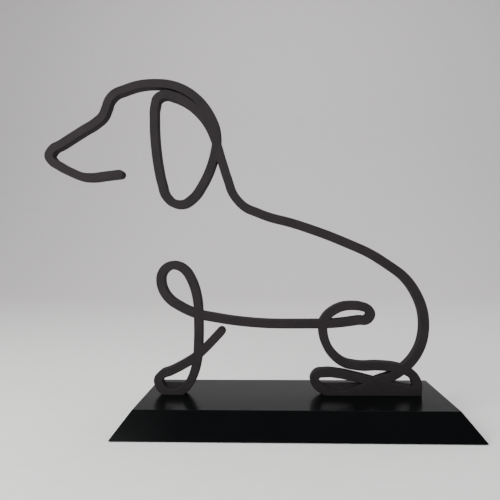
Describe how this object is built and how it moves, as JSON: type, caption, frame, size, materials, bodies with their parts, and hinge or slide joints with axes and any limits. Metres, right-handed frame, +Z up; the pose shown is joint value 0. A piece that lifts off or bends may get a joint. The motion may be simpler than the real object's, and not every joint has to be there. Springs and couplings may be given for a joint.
{
  "type": "one-line dog ornament on a plinth",
  "caption": "Ornament of a dachshund drawn with a single flat line, standing upright on a low bevelled plinth; the figure plugs into the plinth and lifts out.",
  "frame": {"origin": "centre of the plinth's underside", "axes": "+X along the plinth towards the dog's rump, +Y from the front face to the back, +Z up"},
  "size_m": [0.2264, 0.082, 0.1864],
  "materials": {
    "plinth_gloss": "satin to glossy black, smooth",
    "line_plastic": "matte black with faint printed lines along the stroke",
    "pad_rubber": "matte black"
  },
  "bodies": {
    "base": {"plinth": "plinth_gloss", "pad_front_left": "pad_rubber", "pad_front_right": "pad_rubber", "pad_back_left": "pad_rubber", "pad_back_right": "pad_rubber"},
    "figure": {"dog_line": "line_plastic"}
  },
  "joints": [
    {"name": "figure_lift", "type": "slide", "parent": "base", "child": "figure", "axis": [0, 0, 1], "range_m": [0, 0.012]}
  ]
}
